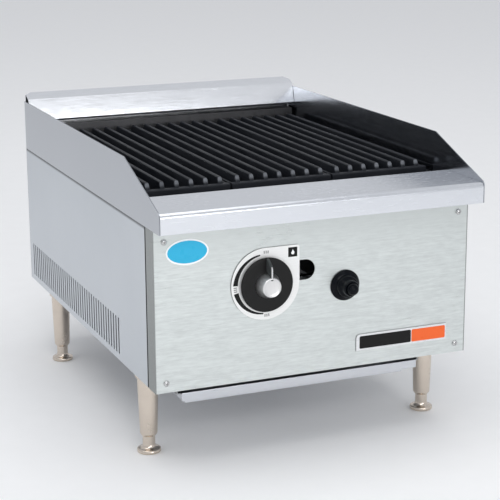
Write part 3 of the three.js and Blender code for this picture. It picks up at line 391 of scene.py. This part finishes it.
def turned(name, profile, place, axis, material, body, replaces, count=64, closed=False):
    """A body of revolution from (radius, height) points in mm. axis is "up" or "front".

    A closed profile is joined from its last point back to its first. An open one is capped.
    """
    verts = []
    for radius, height in profile:
        verts.extend(ring(max(radius, 0.001), height, count))
    faces = strip_faces(len(profile), count)
    last = (len(profile) - 1) * count
    if closed:
        faces += [(last + i, last + (i + 1) % count, (i + 1) % count, i) for i in range(count)]
    else:
        faces.append(tuple(range(count)))
        faces.append(tuple(range(last, last + count)))
    turn = Matrix.Identity(3) if axis == "up" else Matrix.Rotation(math.radians(90), 3, "X")
    verts = [turn @ Vector(v) + Vector(place) for v in verts]
    return new_piece(name, verts, faces, material, body, replaces, smooth=40.0)


def loft(sections):
    """Points and quads of a closed tube through sections of the same number of points, with ends."""
    count = len(sections[0])
    verts = [point for section in sections for point in section]
    faces = strip_faces(len(sections), count)
    faces.append(tuple(range(count)))
    faces.append(tuple(range(len(verts) - count, len(verts))))
    return verts, faces


def merged(parts):
    """Several lists of points and faces as one."""
    verts, faces = [], []
    for part_verts, part_faces in parts:
        start = len(verts)
        verts.extend(part_verts)
        faces.extend(tuple(i + start for i in face) for face in part_faces)
    return verts, faces


def plate(outline, back, front):
    """A flat plate facing the front, from (x, z) points: y from back to front."""
    return loft([[(x, back, z) for x, z in outline], [(x, front, z) for x, z in outline]])


def arc_points(x, z, radius, start, end, count):
    angles = [math.radians(start + (end - start) * i / count) for i in range(count + 1)]
    return [(x + radius * math.cos(a), z + radius * math.sin(a)) for a in angles]


def rectangle(x, z, half_x, half_z):
    """The corners of an upright rectangle about (x, z)."""
    return [(x - half_x, z - half_z), (x + half_x, z - half_z),
            (x + half_x, z + half_z), (x - half_x, z + half_z)]


def rounded_rectangle(x0, x1, z0, z1, radius):
    corners = [(x1 - radius, z1 - radius, 0), (x0 + radius, z1 - radius, 90),
               (x0 + radius, z0 + radius, 180), (x1 - radius, z0 + radius, 270)]
    return [point for x, z, start in corners
            for point in arc_points(x, z, radius, start, start + 90, 4)]


def box_mm(node):
    low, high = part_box(node)
    return low / MM, high / MM


def middle(low, high):
    """The middle of a box, in x and z."""
    return (low.x + high.x) / 2, (low.z + high.z) / 2


# ---------- cabinet ----------

finish_node("front_panel", FRONT_STEEL, bevel=0.9)
for side in ("left", "right"):
    finish_node(f"{side}_side_panel", SIDE_STEEL, bevel=0.35)
    finish_node(f"{side}_splash_guard", GUARD_STEEL, bevel=0.45)
finish_node("front_ledge", LEDGE_STEEL, bevel=0.5)
finish_node("back_splash", SPLASH_STEEL, bevel=0.6)
finish_node("drip_tray", TRAY_STEEL, bevel=0.5)
for node_name in ("back_panel", "base_left_rail", "base_right_rail", "base_front_rail",
                  "base_rear_rail", "tray_left_runner", "tray_right_runner"):
    finish_node(node_name, ZINC)
for node_name in ("firebox_front_wall", "firebox_rear_wall", "firebox_left_liner",
                  "firebox_right_liner", "radiant_front_support", "radiant_rear_support",
                  "pilot_bracket"):
    finish_node(node_name, HOT_STEEL)
for node_name in ("burner", "left_radiant", "right_radiant"):
    finish_node(node_name, BURNER_IRON, bevel=0.6)
for node_name in ("gas_pipe", "air_shutter", "igniter_nut"):
    finish_node(node_name, PIPE_STEEL)
for node_name in ("gas_valve", "burner_orifice", "valve_plunger", "pilot_burner"):
    finish_node(node_name, BRASS)
finish_node("valve_stem", ALUMINIUM)
finish_node("pilot_tube", COPPER, bevel=0.0)
finish_node("igniter_lead", BLACK_KNOB, bevel=0.0)
finish_node("spark_electrode", CERAMIC)
finish_node("control_bezel", DIAL_PLATE, bevel=0.25)
finish_node("badge_plate", BADGE_PLATE, bevel=0.3)
finish_node("oval_sticker", STICKER_WHITE, bevel=0.1)


# ---------- grates ----------

BARS = 7
BAR_PITCH = 18.0
NOSE_STEP = 3.0  # how far the nose of a bar slopes back
RAIL_DROP = 7.5  # from the crown of the bars down to the rails
FRONT_RAIL, REAR_RAIL = 9.5, 8.5  # depth of the end rails
CROSS_RAILS = (109.0, 221.0, 311.0)  # from the front of the grate to the middle of each low rail
CROSS_HALF = 3.2  # half the depth of a low rail
SIDE_HALF = 1.9  # half the width of a side rail
BAR_FRONT, BAR_BACK = 9.0, 6.0  # from the ends of the grate to the upright part of a bar


def bar_section(x, y, bottom, top, foot, crown):
    """Upright section of a bar, ten-sided: a foot, tapering sides and a rounded crown."""
    soft = crown * 0.28
    half = [(foot / 2, bottom), (foot * 0.46, bottom + (top - bottom) * 0.35), (crown / 2, top - soft),
            (crown / 2 - soft * 0.35, top - soft * 0.3), (crown / 2 - soft, top)]
    return [(x + u, y, z) for u, z in half] + [(x - u, y, z) for u, z in reversed(half)]


def bar(x, front, back, bottom, top, rail_top):
    """One bar, with a steep nose that spreads onto the front rail."""
    drop = top - rail_top
    stations = [
        (front - 3.6, rail_top - 0.5, 9.5, 7.6),
        (front - 2.2, rail_top + drop * 0.14, 8.2, 6.4),
        (front - 1.0, rail_top + drop * 0.42, 7.0, 5.6),
        (front - 0.2, rail_top + drop * 0.74, 6.4, 5.2),
        (front + 0.7, rail_top + drop * 0.93, 6.2, 5.1),
        (front + NOSE_STEP, top, 6.2, 5.2),
        (front + 60, top, 6.0, 5.2),
        (back - 60, top, 6.0, 5.2),
        (back - NOSE_STEP, top, 6.2, 5.2),
        (back - 0.6, rail_top + drop * 0.9, 6.2, 5.1),
        (back + 1.4, rail_top + drop * 0.3, 7.4, 5.8),
        (back + 3.0, rail_top - 0.5, 9.0, 7.4),
    ]
    return loft([bar_section(x, y, bottom, z, foot, crown) for y, z, foot, crown in stations])


def rail_x(x0, x1, front, back, bottom, top, soft=1.6):
    """A rail across the grate, with rounded upper edges."""
    cut = soft * 0.3
    section = [(front, bottom), (front, top - soft), (front + cut, top - cut), (front + soft, top),
               (back - soft, top), (back - cut, top - cut), (back, top - soft), (back, bottom)]
    return loft([[(x, y, z) for y, z in section] for x in (x0, x1)])


def rail_y(x, half, front, back, bottom, top):
    """A rail along the side of the grate, with its upper edges cut off."""
    soft = 1.0
    section = [(-half, bottom), (-half, top - soft), (-half + soft, top),
               (half - soft, top), (half, top - soft), (half, bottom)]
    return loft([[(x + u, y, z) for u, z in section] for y in (front, back)])


def build_grate(word):
    """One casting: end, side and low cross rails, with the bars standing on them."""
    node = f"{word}_grate"
    low, high = box_mm(node)
    centre = (low.x + high.x) / 2
    rail_top = high.z - RAIL_DROP
    parts = [
        rail_x(low.x + 0.2, high.x - 0.2, low.y, low.y + FRONT_RAIL, low.z, rail_top),
        rail_x(low.x + 0.2, high.x - 0.2, high.y - REAR_RAIL, high.y, low.z, rail_top),
    ]
    for side in (-1, 1):
        x = centre + side * (high.x - centre - 2.2)
        parts.append(rail_y(x, SIDE_HALF, low.y + 3, high.y - 3, low.z + 1, rail_top - 0.6))
    for step in CROSS_RAILS:
        front, back = low.y + step - CROSS_HALF, low.y + step + CROSS_HALF
        parts.append(rail_x(low.x + 1, high.x - 1, front, back, low.z + 0.8, low.z + 6.5, 1.2))
    for i in range(BARS):
        x = centre + (i - (BARS - 1) / 2) * BAR_PITCH
        parts.append(bar(x, low.y + BAR_FRONT, high.y - BAR_BACK, low.z + 1.5, high.z, rail_top))
    verts, faces = merged(parts)
    new_piece(f"{word}_grate_casting", verts, faces, GRATE_IRON, node, (node,),
              bevel=0.35, smooth=50.0)


for word in ("left", "centre", "right"):
    build_grate(word)


# ---------- legs and feet ----------


def build_leg(corner):
    """A tapered leg with a well in its lower end, and the foot that slides in it."""
    leg, foot = f"{corner}_leg", f"{corner}_foot"
    low, high = box_mm(foot)
    x, y = (low.x + high.x) / 2, (low.y + high.y) / 2
    well = [(7.9, 58.0), (7.9, 20.9)]
    taper = [(8.3, 20.5), (8.5, 20.7), (10.0, 23.0), (10.35, 23.8), (11.1, 46.0), (11.8, 70.0),
             (12.4, 90.6)]
    flange = [(12.6, 92.2), (13.4, 93.0), (14.5, 93.2), (14.9, 93.6), (14.9, 96.3), (14.6, 96.7)]
    stud = [(5.0, 96.7), (5.0, 107.4), (4.4, 108.0), (0.01, 108.0), (0.01, 58.0)]
    turned(f"{corner}_leg_shell", well + taper + flange + stud, (x, y, 0), "up", NICKEL,
           "cabinet", (leg,), closed=True)
    pad = [(0.01, 0.0), (12.4, 0.0), (13.5, 0.35), (14.1, 1.2), (14.2, 2.6), (14.0, 4.0), (13.3, 4.7),
           (12.2, 5.0)]
    stem = [(9.6, 5.7), (8.2, 7.0), (7.6, 9.0), (7.4, 10.0), (7.4, 53.0), (6.9, 54.0), (0.01, 54.0)]
    turned(f"{corner}_foot_disc", pad + stem, (x, y, 0), "up", NICKEL, foot, (foot,))


for corner in ("front_left", "front_right", "rear_left", "rear_right"):
    build_leg(corner)


# ---------- control ----------

knob_low, knob_high = box_mm("control_knob")
KNOB_X, KNOB_Z = middle(knob_low, knob_high)
KNOB_BACK = knob_high.y
KNOB_FRONT = knob_low.y
FLANGE_RADIUS = (knob_high.x - knob_low.x) / 2
DEPTH = KNOB_BACK - KNOB_FRONT


def build_knob():
    """A black flange, a silver grip and a pointer blade, with a silver strip along the blade's front edge
    as a painted highlight.
    """
    place = (KNOB_X, KNOB_BACK, KNOB_Z)
    knob = "control_knob"
    rim = FLANGE_RADIUS
    flange = [(3.4, 0.0), (rim - 0.7, 0.0), (rim - 0.1, 0.5), (rim - 0.1, 1.1), (rim - 0.8, 1.7),
              (27.0, 1.9), (17.0, 2.3), (13.4, 2.4), (13.4, 5.0), (3.4, 5.0)]
    turned("knob_flange", flange, place, "front", BLACK_KNOB, knob, (knob,), closed=True)
    grip = [(3.4, 2.5), (14.6, 2.5), (14.5, 4.0), (13.7, 7.0), (12.5, 11.0), (11.4, DEPTH - 1.3),
            (11.1, DEPTH - 0.5), (10.5, DEPTH - 0.1), (9.9, DEPTH - 0.1), (9.5, DEPTH - 0.6),
            (7.0, DEPTH - 0.9), (0.01, DEPTH - 1.0), (0.01, DEPTH - 7.2), (3.4, DEPTH - 7.2)]
    turned("knob_grip", grip, place, "front", SILVER_KNOB, knob, (knob,), closed=True)
    front = KNOB_FRONT + 0.5
    blade = [(8.0, KNOB_BACK - 2.6), (8.0, front), (21.0, front), (24.0, front + 0.8),
             (30.4, KNOB_BACK - 5.0), (31.0, KNOB_BACK - 1.9), (20.0, KNOB_BACK - 2.2)]
    verts, faces = pointer_part(blade, 1.45)
    new_piece("knob_pointer", verts, faces, POINTER_GREY, knob, (knob,), bevel=0.4)
    # Painted highlight: a silver strip along the front edge of the blade.
    highlight_strip = [(11.0, front + 0.05), (11.0, front - 0.12), (20.8, front - 0.12), (23.8, front + 0.66),
            (23.8, front + 0.85)]
    verts, faces = pointer_part(highlight_strip, 0.75)
    new_piece("knob_pointer_highlight", verts, faces, SILVER_KNOB, knob, (knob,))


def pointer_part(outline, half):
    """An upright slice of the knob, from (height above its middle, y) points."""
    return loft([[(KNOB_X + u, y, KNOB_Z + up) for up, y in outline] for u in (-half, half)])


build_knob()

BEZEL_FACE = box_mm("control_bezel")[0].y
INK = 0.06  # thickness of printed marks
BAND_INSIDE, BAND_NARROW, BAND_WIDE = 33.8, 35.4, 39.6  # radii of the printed bands


def wedge(start, end, inner, outer_start, outer_end):
    """A curved band that widens from one end to the other."""
    count = 28
    inside = arc_points(KNOB_X, KNOB_Z, inner, start, end, count)
    outside = []
    for i in range(count + 1):
        angle = math.radians(end + (start - end) * i / count)
        radius = outer_end + (outer_start - outer_end) * i / count
        outside.append((KNOB_X + radius * math.cos(angle), KNOB_Z + radius * math.sin(angle)))
    return inside + outside


def print_on_dial(name, outline, ink):
    verts, faces = plate(outline, BEZEL_FACE - 0.01, BEZEL_FACE - INK)
    new_piece(name, verts, faces, ink, "cabinet")


print_on_dial("dial_band_upper", wedge(101, 178, BAND_INSIDE, BAND_NARROW, BAND_WIDE), INK_BLACK)
print_on_dial("dial_band_lower", wedge(265, 192, BAND_INSIDE, BAND_NARROW, BAND_WIDE), INK_BLACK)


def dial_mark(name, angle, half_width, inner, outer, ink):
    """A short radial stroke."""
    a = math.radians(angle)
    along, across = (math.cos(a), math.sin(a)), (-math.sin(a), math.cos(a))
    corners = [(inner, -half_width), (outer, -half_width), (outer, half_width), (inner, half_width)]
    outline = [(KNOB_X + along[0] * r + across[0] * w, KNOB_Z + along[1] * r + across[1] * w)
               for r, w in corners]
    print_on_dial(name, outline, ink)


MARK_STEP = 3.6  # degrees between the strokes of a mark
for i in range(3):
    dial_mark(f"dial_mark_off_{i}", 92.5 - i * MARK_STEP, 0.7, 35.4, 38.6, INK_GREY)
    dial_mark(f"dial_mark_high_{i}", 181.4 + i * MARK_STEP, 0.7, 35.0, 39.0, INK_GREY)
    dial_mark(f"dial_mark_low_{i}", 268.6 + i * MARK_STEP, 0.7, 35.4, 38.6, INK_GREY)


def flame_square():
    """A black square with a pale flame shape on it, in the square corner of the plate."""
    x, z = KNOB_X + 33.4, KNOB_Z + 33.8
    print_on_dial("dial_square", rectangle(x, z, 5.6, 5.6), INK_BLACK)
    drop = [(0.0, 3.6), (1.3, 1.6), (2.3, 0.0), (2.4, -1.5), (1.5, -3.0), (0.0, -3.5), (-1.5, -3.0),
            (-2.4, -1.5), (-1.8, 0.2), (-0.9, 0.9), (-0.7, 2.2)]
    scale = 0.85
    outline = [(x + u * scale, z + v * scale) for u, v in drop]
    verts, faces = plate(outline, BEZEL_FACE - INK - 0.01, BEZEL_FACE - 2 * INK)
    new_piece("dial_flame", verts, faces, STICKER_WHITE, "cabinet")


flame_square()


# ---------- igniter ----------


def build_igniter():
    """The housing and its button, each turned from its back end forwards."""
    low, high = box_mm("igniter_body")
    x, z = middle(low, high)
    rim = (high.x - low.x) / 2
    end = high.y - low.y
    face = high.y - box_mm("front_panel")[0].y + 0.3  # front of the panel
    barrel = [(0.01, 0.0), (8.6, 0.0), (9.2, 0.6), (9.2, 30.0), (10.0, 30.0), (10.0, face)]
    collar = [(rim - 0.4, 0.0), (rim, 0.4), (rim, 1.0), (rim - 0.5, 1.8), (15.2, 4.2), (14.3, 4.6),
              (13.6, 4.6), (13.2, 5.2), (12.7, 9.0), (12.1, 10.2), (10.2, 11.2), (9.7, 12.0)]
    collar = [(radius, face + step) for radius, step in collar]
    nose = [(9.3, end - 1.6), (8.9, end - 0.4), (8.4, end), (7.6, end)]
    well = [(7.3, end - 0.4), (7.3, 45.2), (0.01, 45.2)]
    turned("igniter_housing", barrel + collar + nose + well, (x, high.y, z), "front", GLOSS_BLACK,
           "cabinet", ("igniter_body",), closed=True)
    low, high = box_mm("igniter_button")
    end = high.y - low.y
    cap = [(0.01, 0.0), (6.95, 0.0), (6.95, end - 6.6), (6.8, end - 5.0), (6.2, end - 3.2),
           (5.1, end - 1.7), (3.6, end - 0.7), (1.9, end - 0.15), (0.01, end)]
    turned("igniter_cap", cap, (x, high.y, z), "front", GLOSS_BLACK,
           "igniter_button", ("igniter_button",))


build_igniter()


# ---------- trim ----------


def build_screw(node):
    """A domed machine screw with a cross recess."""
    low, high = box_mm(node)
    x, z = middle(low, high)
    head = high.y - low.y - 2.4
    shank = [(0.01, 0.0), (1.7, 0.0), (2.0, 0.4), (2.0, head), (3.2, head)]
    dome = [(3.45, head + 0.2), (3.4, head + 0.7), (3.0, head + 1.5), (2.2, head + 2.1),
            (1.1, head + 2.35), (0.01, head + 2.4)]
    piece = turned(node + "_dome", shank + dome, (x, high.y, z), "front", SCREW_METAL,
                   "cabinet", (node,), count=32)
    cutters = []
    for half_x, half_z in ((1.7, 0.38), (0.38, 1.7)):
        verts, faces = plate(rectangle(x, z, half_x, half_z), low.y + 1.3, low.y - 1)
        mesh = bpy.data.meshes.new("cutter")
        mesh.from_pydata([Vector(v) * MM for v in verts], [], faces)
        cutter = bpy.data.objects.new("cutter", mesh)
        SCENE.collection.objects.link(cutter)
        cutters.append(cutter)
        cut = piece.modifiers.new("recess", "BOOLEAN")
        cut.operation = "DIFFERENCE"
        cut.object = cutter
        cut.solver = "EXACT"
    apply_modifiers(piece)
    for cutter in cutters:
        bpy.data.objects.remove(cutter)
    polish(piece, 0.0)


def apply_modifiers(piece):
    """Bakes the modifiers into the mesh."""
    shading = piece.modifiers.get("even_shading")
    if shading:
        piece.modifiers.remove(shading)
    bpy.context.view_layer.update()
    graph = bpy.context.evaluated_depsgraph_get()
    baked = bpy.data.meshes.new_from_object(piece.evaluated_get(graph))
    piece.modifiers.clear()
    piece.data = baked


for height in ("upper", "lower"):
    for side in ("left", "right"):
        build_screw(f"{height}_{side}_panel_screw")

badge_low, badge_high = box_mm("badge_plate")


def badge_field(name, x0, x1, ink):
    outline = rounded_rectangle(x0, x1, badge_low.z + 2.6, badge_high.z - 2.6, 1.6)
    verts, faces = plate(outline, badge_low.y - 0.01, badge_low.y - 0.12)
    new_piece(name, verts, faces, ink, "cabinet")


badge_field("badge_black_field", badge_low.x + 4.4, badge_low.x + 72.3, INK_BLACK)
badge_field("badge_orange_field", badge_low.x + 73.2, badge_high.x - 1.6, INK_ORANGE)


def build_sticker():
    """The blue field of the sticker, inside a pale rim."""
    rim = 2.0
    low, high = box_mm("oval_sticker")
    x, z = middle(low, high)
    half_x, half_z = (high.x - low.x) / 2 - rim, (high.z - low.z) / 2 - rim
    outline = [(x + half_x * across, z + half_z * up) for across, up, _ in ring(1.0, 0.0, 64)]
    verts, faces = plate(outline, low.y - 0.01, low.y - 0.06)
    new_piece("sticker_blue_field", verts, faces, STICKER_BLUE, "cabinet")


build_sticker()


# ---------- floor, lights and camera ----------

CAMERA_PLACE = (-0.7082, -1.7707, 0.6709)
CAMERA_AZIMUTH = -22.56
CAMERA_ELEVATION = 14.42
CAMERA_ROLL = -0.32
CAMERA_LENS = 108.6
FLOOR_HALF = 6.0
WORLD_COLOR = rgba(0.94, 0.96, 1.0)
WORLD_STRENGTH = 0.68


def build_floor():
    mesh = bpy.data.meshes.new("floor")
    corners = [(x, y, 0) for x, y in rectangle(0, 0, FLOOR_HALF, FLOOR_HALF)]
    mesh.from_pydata(corners, [], [(0, 1, 2, 3)])
    shader = Shader("floor_paint", Roughness=0.9)
    speck = shader.noise(30.0, detail=3.0)
    shader.finish(shader.mix(speck, rgba(0.91, 0.91, 0.91), rgba(0.94, 0.94, 0.94)))
    mesh.materials.append(shader.material)
    floor = bpy.data.objects.new("floor", mesh)
    SCENE.collection.objects.link(floor)


def area_light(name, place, aim, size, power, spread=180.0):
    data = bpy.data.lights.new(name, "AREA")
    data.shape = "RECTANGLE"
    data.size, data.size_y = size
    data.energy = power
    data.spread = math.radians(spread)
    light = bpy.data.objects.new(name, data)
    SCENE.collection.objects.link(light)
    light.location = place
    light.rotation_mode = "QUATERNION"
    light.rotation_quaternion = (Vector(aim) - Vector(place)).to_track_quat("-Z", "Y")


def build_camera():
    azimuth, elevation = math.radians(CAMERA_AZIMUTH), math.radians(CAMERA_ELEVATION)
    level = math.cos(elevation)
    back = Vector((math.sin(azimuth) * level, -math.cos(azimuth) * level, math.sin(elevation)))
    right = (-back).cross(Vector((0, 0, 1))).normalized()
    up = back.cross(right)
    roll = math.radians(CAMERA_ROLL)
    turn, tilt = math.cos(roll), math.sin(roll)
    right, up = right * turn + up * tilt, up * turn - right * tilt
    data = bpy.data.cameras.new("camera")
    data.lens = CAMERA_LENS
    data.sensor_width = 36.0
    data.clip_end = 50.0
    camera = bpy.data.objects.new("camera", data)
    SCENE.collection.objects.link(camera)
    camera.matrix_world = Matrix.Translation(CAMERA_PLACE) @ Matrix((right, up, back)).transposed().to_4x4()
    SCENE.camera = camera


build_floor()
world = bpy.data.worlds.new("studio")
world.use_nodes = True
sky = world.node_tree.nodes["Background"]
sky.inputs["Color"].default_value = WORLD_COLOR
sky.inputs["Strength"].default_value = WORLD_STRENGTH
SCENE.world = world
area_light("top", place=(-0.7, -0.6, 4.0), aim=(-0.7, -0.6, 0.0), size=(4.2, 3.2), power=54.0)
area_light("key", place=(-0.9, -2.6, 1.7), aim=(0, -0.1, 0.25), size=(1.0, 0.7), power=12.0)
area_light("low", place=(0.42, -3.0, 0.75), aim=(0, 0.2, 0.3), size=(1.1, 0.8), power=1.25, spread=50.0)
build_camera()
SCENE.view_settings.view_transform = "Standard"
